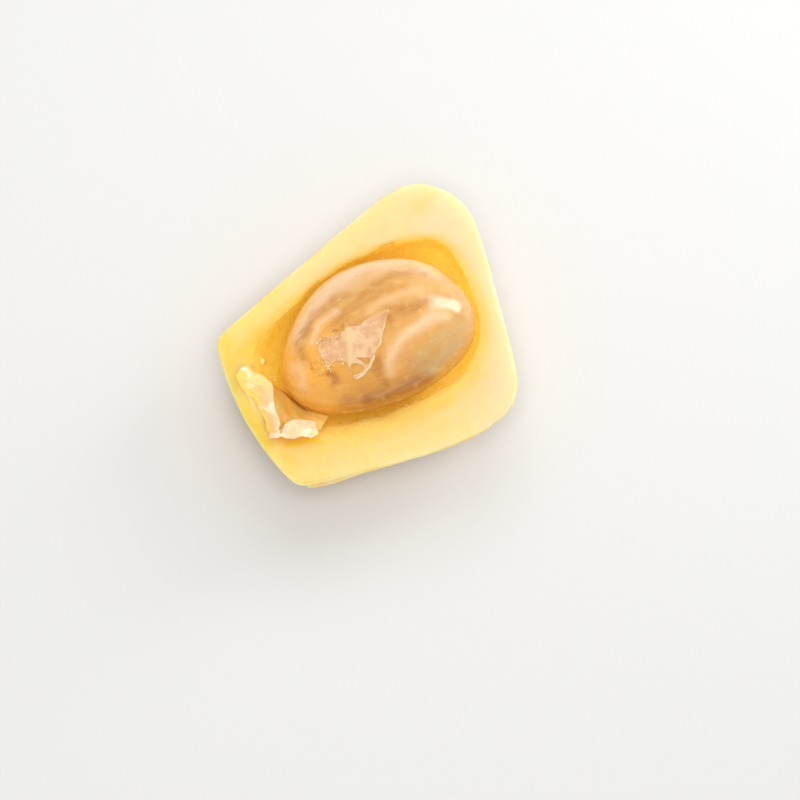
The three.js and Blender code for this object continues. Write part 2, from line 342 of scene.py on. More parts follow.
def strokes(plan, marks):
    """How strongly soft strokes colour each point, 0 to 1. A mark is points, half width and strength."""
    total = np.zeros(plan.shape[:-1])
    for points, width, strength in marks:
        line = spline(points, np.linspace(0, 1, 6 * len(points)))
        total = np.maximum(total, strength * nearness(distance_to_line(plan, line), width))
    return total


def inside(plan, loop):
    """Whether each point lies within a closed line."""
    crossings = np.zeros(plan.shape[:-1], int)
    for (x0, y0), (x1, y1) in zip(loop, np.roll(loop, -1, 0)):
        spans = (y0 > plan[..., 1]) != (y1 > plan[..., 1])
        rise = np.where(spans, y1 - y0 if y1 != y0 else 1, 1)
        crossings += spans & (plan[..., 0] < (x1 - x0) * (plan[..., 1] - y0) / rise + x0)
    return crossings % 2 == 1


# ---- flesh
TRIM_COLOUR_FADE = (-0.2, 0.9)  # mm past the trimming cut
VALLEY_COLOUR_FADE = (0, 3)  # mm below the face
FLAP_LINE = [(-23.1, -12.4), (-21.4, -12.6), (-19.3, -13.1), (-17.0, -13.7)]  # along the rag's flap
# The stroke along the flap's line is painted shade under the lifted flap; the other strokes are stains.
STAINS_AND_FLAP_SHADE = (  # yellow stains on the cut face and the hollow's lip: points, half width and strength
    ([(-25.0, 11.6), (-26.0, 8.4), (-27.6, 3.0)], 1.6, 0.45),
    ([(-27.9, 2.0), (-27.9, -2.8), (-27.3, -6.8), (-26.3, -10.4)], 1.1, 1.0),
    ([(-24.6, -6.4), (-24.6, -9.0)], 1.2, 0.6), ([(-23.2, 6.9), (-21.2, 7.9), (-18.6, 9.5)], 1.0, 0.9),
    ([(-24.8, -13.6), (-23.8, -15.0)], 1.1, 0.5),
    ([(9.2, -12.8), (10.2, -15.0), (8.2, -17.7), (5.8, -18.2)], 0.9, 0.55), (FLAP_LINE, 0.55, 1.0),
    ([(-23.0, 6.2), (-20.7, 6.5), (-18.9, 6.2)], 0.35, 0.9), ([(20.0, 17.8), (22.4, 19.0)], 1.6, 0.3),
)
SLIT = (FLAP_LINE, 0.40, 1.0)  # shade under the flap
SLIT_DEPTH = 0.4  # of the hollow's depth, down to which the slit is drawn
STAIN_DRIFT = ((0.5, 4, (11, 12)),)
STAIN_IN_HOLLOW = 0.4  # how strong the stains are off the cut face
GOLDEN_LIP = (1.1, 5.6)  # mm over which the hollow's gold fades into the face, on its far and near side
SEED_SHADE_REACH = 0.8  # mm of wall beside the seed that lie in its shade
# Sides of the hollow's wall: the way each faces in degrees, and the cosines where its colour starts and is
# full. The side toward the window lamp is painted paler as painted light, and the far side is painted
# darker as painted shade; both also get more glow.
WALL_SIDES = {
    "window_lit_side": (-12, 0.2, 0.95),
    "far_side": (62, 0.3, 0.9),
}
# The cut face is warmer towards the narrow end and cooler towards the wide end.
FACE_TURN = 0.15  # how far the way to the narrow end leans to the far side
WARM_END, COOL_END = (4, 27), (8, 24)  # mm from the middle
# Unevenness: layers of height in mm, length in mm, seed and number of waves.
FACE_RELIEF = ((0.10, 11, 3),)
HOLLOW_RELIEF = ((0.16, 7, 4), (0.05, 2.2, 5))
STRAND_RELIEF = ((0.22, 4.2, 6, 16), (0.08, 1.7, 7, 16))
STRAND_STRETCH = np.array([0.12, 1, 1])
BACK_RELIEF = ((0.18, 13, 8),)
END_RELIEF = ((0.10, 5, 9),)
SMOOTH_BASE = (0.05, 1.5)  # mm over the table where the back's unevenness sets in
SMOOTH_EDGE = (0, 4)  # mm below the face where it sets in


def flesh_grid():
    """The flesh from the lowest point of its back over the face to the hollow's floor, with its masks."""
    angle = np.linspace(0, 2 * np.pi, FLESH_MESH["around"], endpoint=False)[:, None]
    edge_turn = math.asin((EDGE_ROUNDING / FACE_HEIGHT) ** (BACK["fullness"] / 2))
    back, relief, on_end = back_points(angle, np.linspace(np.pi / 2, edge_turn, FLESH_MESH["back"])[None])
    corner = back_points(angle, np.zeros((1, 1)))[0]
    share = slope_share(angle)
    hollow_corner = wall_points(angle, np.zeros((1, 1)))
    across = hollow_corner - corner
    width = np.linalg.norm(across, axis=-1)
    across /= width[..., None]
    lip = mix(LIP["crisp"], LIP["rounded"], share)
    lip = np.minimum(lip, width - EDGE_ROUNDING - NARROWEST_FACE)
    face_start = corner + EDGE_ROUNDING * across
    face_end = hollow_corner - lip[..., None] * across
    lip_turn = np.arcsin((LIP["drop"] * lip / HOLLOW_DEPTH) ** (wall_fullness(angle) / 2))
    wall = wall_points(angle, mix(lip_turn, np.pi / 2, np.linspace(0, 1, FLESH_MESH["wall"])[None]))
    lip_corner = mix(hollow_corner, (face_end + wall[:, :1]) / 2, LIP["ease"])
    face = mix(face_start, face_end, np.linspace(0, 1, FLESH_MESH["face"])[None, :, None])
    stretches = [
        back,
        bent(back[:, -1:], corner, face_start, FLESH_MESH["edge"]),
        face,
        bent(face_end, lip_corner, wall[:, :1], FLESH_MESH["lip"]),
        wall,
    ]
    sizes = [stretch.shape[1] for stretch in stretches]
    ramps = {
        "on_back": (1, 1, 0, 0, 0, 0),
        "on_face": (0, 0, 1, 1, 0, 0),
        "in_hollow": (0, 0, 0, 0, 1, 1),
    }
    ends = np.concatenate([[0], np.cumsum(sizes)])
    column = np.arange(ends[-1])
    masks = {name: np.interp(column, ends, levels)[None] for name, levels in ramps.items()}
    for name, values in (("valley", relief), ("on_end", on_end)):
        masks[name] = np.zeros((FLESH_MESH["around"], ends[-1]))
        masks[name][:, : sizes[0]] = values
    points = np.concatenate(stretches, axis=1)
    beyond = np.linalg.norm((points - hollow_corner)[..., :2], axis=-1)
    golden = nearness(beyond, mix(*GOLDEN_LIP, share))
    masks["golden"] = np.where(column >= ends[2], np.where(column < ends[4], golden, 1), 0)
    for name, (facing, start, full) in WALL_SIDES.items():
        masks[name] = smoothstep(np.cos(angle - math.radians(facing)), start, full) + 0 * golden
    # Painted shade on the wall beside the seed.
    masks["painted_seed_shade"] = nearness(gap_to_seed(points), SEED_SHADE_REACH)
    return points, masks


def detail_flesh(points, masks):
    """Fine unevenness of the knife-cut face, the hollow's wall and the back."""
    normals = grid_normals(points)
    on_back, on_end = masks["on_back"], masks["on_end"]
    strands = rough(points * STRAND_STRETCH, STRAND_RELIEF)
    bulge = masks["on_face"] * rough(points, FACE_RELIEF)
    bulge = bulge + masks["in_hollow"] * rough(points, HOLLOW_RELIEF)
    bulge = bulge + on_back * (1 - on_end) * (strands + rough(points, BACK_RELIEF))
    bulge = bulge + on_back * on_end * rough(points, END_RELIEF)
    height = points[..., 2]
    set_in = smoothstep(height, *SMOOTH_BASE) * smoothstep(FACE_HEIGHT - height, *SMOOTH_EDGE)
    bulge = bulge * np.where(on_back > 0.5, set_in, 1)
    bulge[:, :2] = 0
    bulge[:, -2:] = bulge[:, -2:].mean()
    points = points + bulge[..., None] * normals
    points[..., 2] = np.maximum(points[..., 2], 0)
    return points


def make_flesh(points, masks):
    plan = points[..., :2]
    # Stains, and painted shade under the flap, on the face and the lip.
    stains_and_flap_shade = np.clip(strokes(plan + drift(points, STAIN_DRIFT), STAINS_AND_FLAP_SHADE), 0, 1)
    masks["stain_and_flap_shade"] = stains_and_flap_shade * np.maximum(masks["on_face"], STAIN_IN_HOLLOW)
    masks["depth"] = np.clip((FACE_HEIGHT - points[..., 2]) / HOLLOW_DEPTH, 0, 1)
    to_narrow_end = FACE_TURN * points[..., 1] - points[..., 0]
    masks["warm"] = smoothstep(to_narrow_end, *WARM_END)
    masks["cool"] = smoothstep(-to_narrow_end, *COOL_END)
    masks["slit"] = strokes(plan, [SLIT]) * (masks["depth"] < SLIT_DEPTH)
    return make_piece("flesh", [solid_from_grid(points, masks)])


# ---- seed
# Marks on the seed's upper and lower side: points in its plan, half width and strength.
DARK_STREAKS = (
    ([(-15.0, 1.9), (-14.6, 3.6), (-13.5, 4.9), (-12.3, 5.9), (-11.1, 6.9)], 1.1, 0.62),
    ([(-11.1, 6.9), (-9.7, 7.7), (-7.9, 8.2), (-5.2, 8.6), (-2.5, 8.9)], 0.9, 0.48),
    ([(-6.9, 4.9), (-5.4, 5.8), (-3.3, 6.1), (-1.1, 6.4)], 0.8, 0.35),
    ([(-1.1, 6.4), (1.0, 7.4), (3.5, 7.9), (6.1, 8.1), (8.7, 7.9), (11.2, 7.1), (13.0, 6.4)], 1.1, 0.42),
    ([(-2.8, 5.7), (0.7, 5.7), (3.4, 5.7), (6.1, 5.7), (8.1, 5.3)], 0.8, 0.3),
    ([(2.0, 0.3), (2.8, 1.6), (4.0, 1.8), (6.4, 1.4), (9.0, 1.0), (11.1, 0.7)], 0.9, 0.6),
    ([(-11.9, -9.6), (-9.4, -10.8), (-7.0, -11.5)], 1.4, 0.5),
    ([(-7.4, -11.0), (-5.4, -11.4), (-2.5, -11.8), (0.6, -12.0), (5.1, -12.0)], 1.6, 1.0),
    ([(-6.6, -10.1), (-3.0, -10.4), (1.0, -10.7)], 0.7, 0.4),
    ([(-3.2, -5.1), (-3.8, -6.6), (-3.7, -8.5), (-2.9, -9.7)], 0.9, 0.6),
    ([(-12.0, -3.6), (-11.5, -4.5), (-11.9, -5.6)], 0.8, 0.8),
    ([(-7.9, 3.7), (-6.7, 3.5), (-5.5, 3.9)], 0.45, 0.5),
)
LIGHT_STREAKS = (
    ([(-1.8, -6.9), (0.7, -4.9), (2.9, -3.8), (5.7, -3.0), (8.6, -2.5), (12.6, -2.7)], 1.2, 0.8),
    ([(-11.9, 3.5), (-9.9, 5.4), (-8.0, 6.4), (-5.7, 7.0)], 0.7, 0.8),
    ([(-14.4, 7.3), (-9.1, 10.8), (-2.1, 12.7), (4.9, 12.9), (11.0, 10.8), (15.8, 7.0)], 2.9, 0.95),
    ([(-16.6, 1.1), (-16.7, -1.5), (-17.0, -3.3)], 1.1, 0.5),
    ([(-0.2, 3.4), (5.3, 3.9), (10.8, 3.4)], 0.9, 0.35),
)
GREY_PATCH = (
    ([(4.5, -8.2), (8.4, -6.6), (12.4, -6.0), (14.4, -5.5)], 1.6, 0.85),
    ([(5.4, -10.3), (9.6, -9.3), (12.9, -7.6)], 1.5, 0.95),
)
PINK_PATCH = (
    ([(2.0, -7.3), (3.3, -8.4), (4.2, -9.6)], 1.6, 0.8), ([(-1.0, -11.0), (2.0, -11.1)], 1.2, 0.5),
)
CRUMBS = (
    ([(-14.1, -0.5), (-13.6, -1.6), (-12.8, -2.6), (-12.0, -3.2)], 0.9, 1.0),
    ([(-7.9, 3.6), (-6.7, 3.4), (-5.5, 3.9)], 0.7, 1.0),
)
WET_WRINKLES = (([(9.0, 0.4), (13.4, 0.4), (17.4, -1.2)], 2.6, 1.0),)
SEED_DRIFT = ((0.28, 6, (23, 24)), (0.168, 2.2, (25, 26)))
SEED_LUMPS = ((0.10, 13, 21),)
SEED_RIPPLES = ((0.05, 4, 22),)
UNROLLED_LENGTH = 0.22  # how much shorter the seed is along its length where its grain is drawn
# Painted light and shade on the seed: a direction in its own axes, and the mm along it where each starts
# and is full. The low and under ones are painted shade on the lower side and underneath, the warm one is
# painted bounce light from the flesh on the lower left side, and the left one is painted light coming
# through the left end.
SEED_LIGHT_AND_SHADE = {
    "low": ((0, 0, -1), -5, 3),
    "under": ((0, 0, -1), 0.5, 5),
    "left": ((-1, 0.3, 0), 4, 15),
    "warm": ((-0.35, -0.75, 0), -4, 9),
}


def seed_to_part(points):
    """From the seed's own axes to the part's."""
    turn = math.radians(SEED["turn"])
    turned = points.copy()
    turned[..., 0] = points[..., 0] * math.cos(turn) - points[..., 1] * math.sin(turn)
    turned[..., 1] = points[..., 0] * math.sin(turn) + points[..., 1] * math.cos(turn)
    return turned + SEED_CENTRE


def seed_stretch(x, y):
    """How much the seed's three blunt corners stretch its plan in the direction of a place."""
    angle = np.arctan2(y / SEED["half_width"], x / SEED["half_length"])
    return 1 + SEED_LOBES["swelling"] * np.cos(3 * (angle - math.radians(SEED_LOBES["facing"])))


def make_seed():
    along = np.linspace(0, np.pi, SEED_MESH["along"])[None]
    around = np.linspace(0, 2 * np.pi, SEED_MESH["around"], endpoint=False)[:, None]
    x = -np.cos(along) * np.ones_like(around)
    swell = 1 + SEED["wide_end"] * x
    swell = swell * np.sin(along)
    half_sizes = np.array([SEED["half_length"], SEED["half_width"], SEED["half_height"]])
    points = half_sizes * np.stack([x, swell * np.cos(around), swell * np.sin(around)], axis=-1)
    stretch = seed_stretch(points[..., 0], points[..., 1])
    points[..., :2] *= stretch[..., None]
    girth = SEED["half_width"] * np.sqrt(np.sin(along))
    shortened = UNROLLED_LENGTH * SEED["half_length"] * x
    unrolled = np.stack([shortened, girth * np.cos(around), girth * np.sin(around)], axis=-1)
    normals = points / half_sizes**2
    normals /= np.linalg.norm(normals, axis=-1, keepdims=True)
    lumps = rough(points, SEED_LUMPS) + rough(unrolled, SEED_RIPPLES)
    plan = points[..., :2]
    drifted = plan + drift(points, SEED_DRIFT)
    on_top = points[..., 2] > 0
    masks = {
        "dark": strokes(drifted, DARK_STREAKS),
        "light": strokes(drifted, LIGHT_STREAKS),
        "grey": strokes(drifted, GREY_PATCH),
        "pink": strokes(drifted, PINK_PATCH),
        "crumbs": strokes(plan, CRUMBS) * on_top,
        "wet_wrinkles": strokes(plan, WET_WRINKLES) * on_top,
        "unrolled": unrolled * MM,
    }
    # Painted light and shade by direction across the seed.
    for name, (facing, start, full) in SEED_LIGHT_AND_SHADE.items():
        masks[name] = smoothstep(points @ np.array(facing, float), start, full)
    points = seed_to_part(points + lumps[..., None] * normals)
    return make_piece("seed_coat", [solid_from_grid(points, masks)])


# ---- torn film on the seed
FILM_OUTLINE = (  # in the seed's plan, clockwise from the thin tip
    (3.0, 2.3), (1.7, 0.9), (0.3, -0.8), (-0.7, -2.1), (-1.9, -3.3), (-2.9, -4.0), (-3.8, -5.1),
    (-4.9, -6.0), (-6.2, -6.4), (-7.3, -6.8), (-8.2, -6.5), (-8.5, -5.9), (-7.0, -5.9), (-5.9, -5.5),
    (-6.3, -4.6), (-7.6, -3.9), (-8.5, -4.5), (-8.5, -3.4), (-9.2, -2.5), (-9.9, -2.0), (-10.8, -2.0),
    (-11.6, -2.4), (-12.3, -2.8), (-11.9, -1.6), (-12.1, -0.5), (-12.2, 0.8), (-11.8, 2.1), (-11.1, 3.4),
    (-10.1, 3.2), (-8.9, 2.7), (-7.4, 2.3), (-6.3, 2.3), (-5.7, 2.8), (-4.4, 2.4), (-3.4, 2.0),
    (-2.0, 2.4), (0.2, 2.5),
)
FILM_HOLE = ((-6.4, -3.2), (-5.3, -3.7), (-4.2, -4.3), (-4.8, -5.2), (-5.4, -5.1), (-6.0, -4.1))
FILM_FOLDS = (  # raised lines: points, half width and height in mm
    ([(-5.6, 2.2), (-6.2, 0.4), (-6.9, -1.4), (-7.8, -3.4)], 1.15, 0.12),
    ([(2.0, 1.2), (-0.1, -1.3), (-1.7, -3.1), (-3.5, -4.6), (-5.8, -6.2), (-7.8, -6.6)], 0.3, 0.16),
    ([(-9.0, -2.3), (-11.4, -2.2), (-12.1, -2.7)], 0.25, 0.15),
    ([(-11.8, -1.3), (-12.1, 0.6), (-11.2, 3.1)], 0.3, 0.10),
)
FILM_GRAINS = (
    ([(-11.4, 2.6), (-9.6, 2.6), (-7.6, 2.0)], 0.9, 1.0),
    ([(-12.0, 1.0), (-12.0, -1.4), (-11.4, -2.4)], 0.5, 0.8), ([(-9.4, -2.4), (-8.2, -3.0)], 0.5, 0.7),
)
FILM_SPACING = 0.17
FILM_RAGGED_EDGE = ((0.07, 1.6, 31),)
FILM_RIPPLES = ((0.035, 2.6, 33),)
FILM_GRAIN_RELIEF = ((0.10, 0.7, 34),)
FILM_EDGE_PATCHES = ((1, 3.0, 36),)
FILM = {
    "gap": 0.03, "top": 0.20, "edge_width": 0.2, "edge_height": 0.05, "edge_fade": (-1.0, 0.7),
    "full_fold": 0.15, "fold_under": 0.3, "tip": (-1.0, 4.5), "tip_thinner": 0.10,
}


def seed_shares(x, y):
    """A place in the seed's plan as shares of the way to its end and side, and the seed's swell there."""
    stretch = seed_stretch(x, y)
    along = x / SEED["half_length"] / stretch
    swell = 1 + SEED["wide_end"] * along
    return along, y / (SEED["half_width"] * swell) / stretch, swell


def seed_top(plan):
    """How high the seed's upper side is over its own middle."""
    along, across, swell = seed_shares(plan[..., 0], plan[..., 1])
    return SEED["half_height"] * swell * np.sqrt(np.maximum(0, 1 - along**2 - across**2))


def gap_to_seed(points):
    """About how far points of the part lie outside the seed."""
    apart = points - SEED_CENTRE
    turn = math.radians(SEED["turn"])
    x = apart[..., 0] * math.cos(turn) + apart[..., 1] * math.sin(turn)
    y = apart[..., 1] * math.cos(turn) - apart[..., 0] * math.sin(turn)
    along, across, swell = seed_shares(x, y)
    up = apart[..., 2] / (SEED["half_height"] * swell)
    share = np.maximum(np.sqrt(along**2 + across**2 + up**2), 0.1)
    return np.maximum(0, np.linalg.norm(apart, axis=-1) * (1 - 1 / share))


def smooth_loop(points, spacing):
    """Evenly spaced points on a closed smooth line through the given points."""
    overlapping = [points[-1], *points, points[0], points[1]]
    count = len(overlapping) - 1
    fine = spline(overlapping, np.linspace(1 / count, (count - 1) / count, 40 * count))
    length = np.concatenate([[0], np.cumsum(np.linalg.norm(np.diff(fine, axis=0), axis=1))])
    even = np.linspace(0, length[-1], int(length[-1] / spacing), endpoint=False)
    return np.stack([np.interp(even, length, fine[:, k]) for k in (0, 1)], -1)


def fill_loop(loop, hole, spacing):
    """Points and triangles that fill a closed line in plan, apart from its hole."""

    def filled(plan):
        return inside(plan, loop) & ~inside(plan, hole)

    low, high = loop.min(0), loop.max(0)
    lines = (np.arange(low[k], high[k], spacing) for k in (0, 1))
    grid = np.stack(np.meshgrid(*lines), -1).reshape(-1, 2)
    grid[:, 0] += 0.5 * spacing * (np.round((grid[:, 1] - low[1]) / spacing) % 2)
    kept = filled(grid)
    for line in (loop, hole):
        kept &= distance_to_line(grid, closed(line)) > 0.6 * spacing
    points = np.concatenate([loop, hole, grid[kept]])
    edges, first = [], 0
    for line in (loop, hole):
        edges += [(first + k, first + (k + 1) % len(line)) for k in range(len(line))]
        first += len(line)
    coordinates = [Vector(point) for point in points.tolist()]
    found, _, triangles, *_ = delaunay_2d_cdt(coordinates, edges, [], 1, 1e-6)
    points = np.array([tuple(point) for point in found])
    triangles = np.array([tuple(triangle) for triangle in triangles])
    return points, triangles[filled(points[triangles].mean(1))]


def close_sheet(above, below, triangles, attributes):
    """A closed thin solid between two sheets with the same triangles."""
    count = len(above)
    edges = np.concatenate([triangles[:, [0, 1]], triangles[:, [1, 2]], triangles[:, [2, 0]]])
    both_ways = {tuple(edge) for edge in edges.tolist()}
    rim = [(a, b) for a, b in both_ways if (b, a) not in both_ways]
    faces = triangles.tolist() + (triangles[:, ::-1] + count).tolist()
    faces += [(b, a, a + count, b + count) for a, b in sorted(rim)]
    doubled = {name: np.concatenate([values, values]) for name, values in attributes.items()}
    return np.concatenate([above, below]), faces, doubled


def in_plane(plan):
    return np.pad(plan, ((0, 0), (0, 1)))


def make_film():
    loop, hole = (smooth_loop(line, FILM_SPACING) for line in (FILM_OUTLINE, FILM_HOLE))
    outward = loop - loop.mean(0)
    outward /= np.linalg.norm(outward, axis=1, keepdims=True)
    loop = loop + rough(in_plane(loop), FILM_RAGGED_EDGE)[:, None] * outward
    plan, triangles = fill_loop(loop, hole, FILM_SPACING)
    points = in_plane(plan)
    edge = np.minimum(*(distance_to_line(plan, closed(line)) for line in (loop, hole)))
    near_edge = nearness(edge, FILM["edge_width"])
    near_edge *= smoothstep(rough(points, FILM_EDGE_PATCHES), *FILM["edge_fade"])
    folds = sum(strokes(plan, [fold]) for fold in FILM_FOLDS)
    tip = smoothstep(plan[:, 0] + plan[:, 1], *FILM["tip"])
    grainy = strokes(plan, FILM_GRAINS)
    top = FILM["top"] + folds + FILM["edge_height"] * near_edge - FILM["tip_thinner"] * tip
    top = top + rough(points, FILM_RIPPLES) + grainy * np.abs(rough(points, FILM_GRAIN_RELIEF))
    above, below = points.copy(), points.copy()
    above[:, 2] = seed_top(plan) + top
    below[:, 2] = seed_top(plan) + FILM["gap"] + FILM["fold_under"] * folds
    masks = {
        "edge": near_edge * (1 - tip),
        "fold": np.clip(folds / FILM["full_fold"], 0, 1),
        "tip": tip,
        "grainy": grainy,
    }
    sheet = close_sheet(seed_to_part(above), seed_to_part(below), triangles, masks)
    return make_piece("torn_film", [sheet])


# ---- torn rag of the seed sac
# Each sheet of the rag: its two long edges, how its height changes between them, and its relief. The outer
# share of a laid sheet, and its first end, follow the flesh, so its outer edge has no height of its own.
RAG_SHEETS = {
    "inner_sheet": {
        "outer": ((-21.8, 1.8, 19.1), (-21.5, -0.6, 18.9), (-22.0, -2.8, 18.9), (-22.7, -5.3, 19.1),
                  (-22.9, -7.6, 19.5), (-21.8, -9.6, 19.6), (-19.2, -11.2, 19.4), (-16.2, -12.3, 19.1)),
        "inner": ((-20.6, 0.9, 18.5), (-19.7, -1.1, 17.8), (-18.7, -2.6, 17.2), (-18.1, -3.8, 16.9),
                  (-17.6, -5.0, 16.8), (-16.7, -6.8, 16.8), (-15.5, -8.3, 16.9), (-13.2, -10.4, 17.4)),
        "droop": 1.2, "thickness": 0.30, "wrinkle": 0.09, "laid": 0.0,
    },
    "strip": {
        "outer": ((-23.9, 6.0, 0.0), (-26.6, 4.4, 0.0), (-26.6, 1.4, 0.0), (-25.5, -1.0, 0.0),
                  (-25.1, -3.2, 0.0), (-25.1, -5.9, 0.0), (-25.3, -8.4, 0.0), (-25.2, -9.9, 0.0)),
        "inner": ((-22.4, 5.0, 18.8), (-21.6, 2.8, 19.0), (-20.8, 0.8, 19.1), (-20.4, -0.8, 19.2),
                  (-21.3, -2.9, 19.3), (-22.0, -5.3, 19.6), (-22.3, -7.4, 19.8), (-23.3, -9.2, 20.0)),
        "droop": 1.0, "thickness": 0.55, "wrinkle": 0.16, "laid": 0.75,
    },
    "flap": {
        "outer": ((-25.6, -9.6, 19.9), (-23.6, -10.6, 20.4), (-21.2, -11.8, 20.8), (-18.9, -12.8, 20.9),
                  (-17.1, -13.1, 20.8)),
        "inner": ((-25.1, -8.7, 19.8), (-23.4, -9.2, 20.0), (-21.8, -8.5, 20.1), (-19.4, -8.6, 20.0),
                  (-16.3, -10.5, 19.9)),
        "droop": 0.8, "thickness": 0.6, "wrinkle": 0.12, "laid": 0.0,
    },
}
RAG_MESH = {"along": 150, "across": 46}
RAG_CREASE = ([(-21.9, -8.2), (-22.4, -8.9), (-23.2, -9.6)], 0.22, 1.0)  # dark slit between strip and flap
CREASE_DEPTH = 0.35
RAGGED_EDGE = {"layers": ((0.25, 2.2), (0.10, 0.9)), "x": 0.6, "y": 0.4, "inner_y": 0.3}
WRINKLE_STRETCH = np.array([1, 0.6, 1])
THIN_EDGE = 0.15  # thickness at a sheet's edge, as a share of its full thickness
END_TAPER = 6
SUNK_EDGE = 0.12  # how deep a laid edge lies in the flesh, so that none of it stands proud
LAID_END = 0.22  # share of a laid sheet's length over which it leaves the flesh
LOWER_SHARE = (0.25, 0.6)  # shares of a sheet's length over which its colours set in
FAR_END_SHARE = (0.72, 0.94)
# Shares of a sheet's width and length over which painted shadow lies along the seed.
SEED_SHADE_SHARE = {"across": (0.86, 1.0), "along": (0.05, 0.25)}
RAG_SEEDS = (41, 46, 51)


def drape(points, flesh, laid):
    """Lays a sheet's outer share and first end on the flesh. Also returns how free each point is."""
    surface = BVHTree.FromObject(flesh, bpy.context.evaluated_depsgraph_get())
    v = np.linspace(0, 1, points.shape[1])[None]
    u = np.linspace(0, 1, points.shape[0])[:, None]
    free = smoothstep(v, 0, laid) * smoothstep(u, 0, LAID_END)
    for i, k in zip(*np.nonzero(free < 1)):
        over = Vector((points[i, k, 0] * MM, points[i, k, 1] * MM, 2 * FACE_HEIGHT * MM))
        hit = surface.ray_cast(over, Vector((0, 0, -1)))[0]
        points[i, k, 2] = mix(hit.z / MM - SUNK_EDGE * (1 - free[i, k]), points[i, k, 2], free[i, k])
    return points, free


def make_sheet(name, seed, flesh):
    """One sheet of the rag as a closed thin solid, thinnest at its edges."""
    sheet = RAG_SHEETS[name]
    u = np.linspace(0, 1, RAG_MESH["along"])
    v = np.linspace(0, 1, RAG_MESH["across"])[None]
    outer = spline(sheet["outer"], u)[:, None]
    inner = spline(sheet["inner"], u)[:, None]
    points = mix(outer, inner, v[..., None])
    points[..., 2] = mix(outer[..., 2], inner[..., 2], v ** sheet["droop"])
    along = np.broadcast_to(u[:, None], points.shape[:2])
    across = np.broadcast_to(v, points.shape[:2])
    ragged = rough(points, [(*layer, seed + k) for k, layer in enumerate(RAGGED_EDGE["layers"])])
    points[..., 0] += RAGGED_EDGE["x"] * ragged * (1 - across)
    points[..., 1] += RAGGED_EDGE["y"] * ragged * mix(1, RAGGED_EDGE["inner_y"], across)
    free = np.ones(points.shape[:2])
    if sheet["laid"]:
        points[..., 2] = inner[..., 2]
        points, free = drape(points, flesh, sheet["laid"])
    ends = np.minimum(1, END_TAPER * np.minimum(along, 1 - along))
    within = np.sqrt(np.maximum(0, np.sin(np.pi * across) * ends))
    wrinkles = waves(points * WRINKLE_STRETCH, 3.2, seed + 2) + 0.5 * waves(points, 1.0, seed + 3)
    points[..., 2] += sheet["wrinkle"] * wrinkles * within * free
    thick = sheet["thickness"] * mix(THIN_EDGE, 1, within * np.sqrt(free))
    crease = strokes(points[..., :2], [RAG_CREASE])
    points[..., 2] -= CREASE_DEPTH * crease
    above, below = points.copy(), points.copy()
    above[..., 2] += thick / 2
    below[..., 2] -= thick / 2
    count = points[..., 0].size
    index = np.arange(count).reshape(points.shape[:2])
    quads = np.stack([index[:-1, :-1], index[1:, :-1], index[1:, 1:], index[:-1, 1:]], -1).reshape(-1, 4)
    triangles = np.concatenate([quads[:, [0, 1, 2]], quads[:, [0, 2, 3]]])
    far_end = smoothstep(along, *FAR_END_SHARE)
    # Painted shadow where the sheet meets the seed.
    painted_seed_shade = smoothstep(across, *SEED_SHADE_SHARE["across"]) * smoothstep(along, *SEED_SHADE_SHARE["along"])
    masks = {
        "on_strip": np.full(count, float(name == "strip")),
        "on_flap": np.full(count, float(name == "flap")),
        "free": free,
        "crease": crease,
        "lower": smoothstep(along, *LOWER_SHARE),
        "far_end": far_end,
        "painted_seed_shade": painted_seed_shade * (1 - far_end),
    }
    masks = {label: np.ravel(values) for label, values in masks.items()}
    return close_sheet(above.reshape(-1, 3), below.reshape(-1, 3), triangles, masks)


def make_rag(flesh):
    return make_piece("sac_rag", [make_sheet(*both, flesh) for both in zip(RAG_SHEETS, RAG_SEEDS)])


# ---- droplets of juice
# Groups of beads: count, angles round the hollow, shares of the steps from the lip's start to the hollow's
# floor, and radii in mm. The last group is one large bead.
BEADS = (
    (240, (-140, -40), (0.02, 0.42), (0.05, 0.16)), (26, (158, 188), (0.25, 0.6), (0.10, 0.24)),
    (30, (100, 150), (0.05, 0.4), (0.06, 0.16)), (1, (162, 162), (0.42, 0.42), (0.75, 0.75)),
)
# Round each line of grains on the film.
FILM_BEADS = {"count": 34, "radii": (0.06, 0.15), "scatter": 0.45, "over_seed": 0.15}
BEAD_SEED = 51
BEAD_MESH = {"rings": 4, "sides": 10}
BEAD_LIFTS = (-25, 75)  # degrees up round a bead's section, from its lowest ring to its highest
BEAD_HEIGHT = 0.6  # of a bead, over its radius
BEAD_TIP = 0.62


def make_bead(base, normal, radius):
    """One flat bead that lies on a surface."""
    side = np.cross(normal, (0.3, 0.9, 0.1))
    side /= np.linalg.norm(side)
    turn = np.linspace(0, 2 * np.pi, BEAD_MESH["sides"], endpoint=False)[:, None, None]
    flat = np.cos(turn) * side + np.sin(turn) * np.cross(normal, side)
    lift = np.radians(np.linspace(*BEAD_LIFTS, BEAD_MESH["rings"]))
    out = np.array([0, *np.cos(lift), 0])[:, None]
    up = np.array([BEAD_HEIGHT * math.sin(lift[0]), *BEAD_HEIGHT * np.sin(lift), BEAD_TIP])[:, None]
    return solid_from_grid(base + radius * (out * flat + up * normal), {})


def flesh_spots(points, first_column, draw):
    """Where beads lie on the hollow's lip and wall, which start at a column of the flesh's points."""
    normals = grid_normals(points)
    around, columns = points.shape[0], points.shape[1] - first_column
    for count, angles, shares, radii in BEADS:
        for _ in range(count):
            i = int(draw.uniform(*angles) / 360 * around) % around
            k = first_column + int(draw.uniform(*shares) * (columns - 1))
            yield points[i, k], normals[i, k], draw.uniform(*radii)


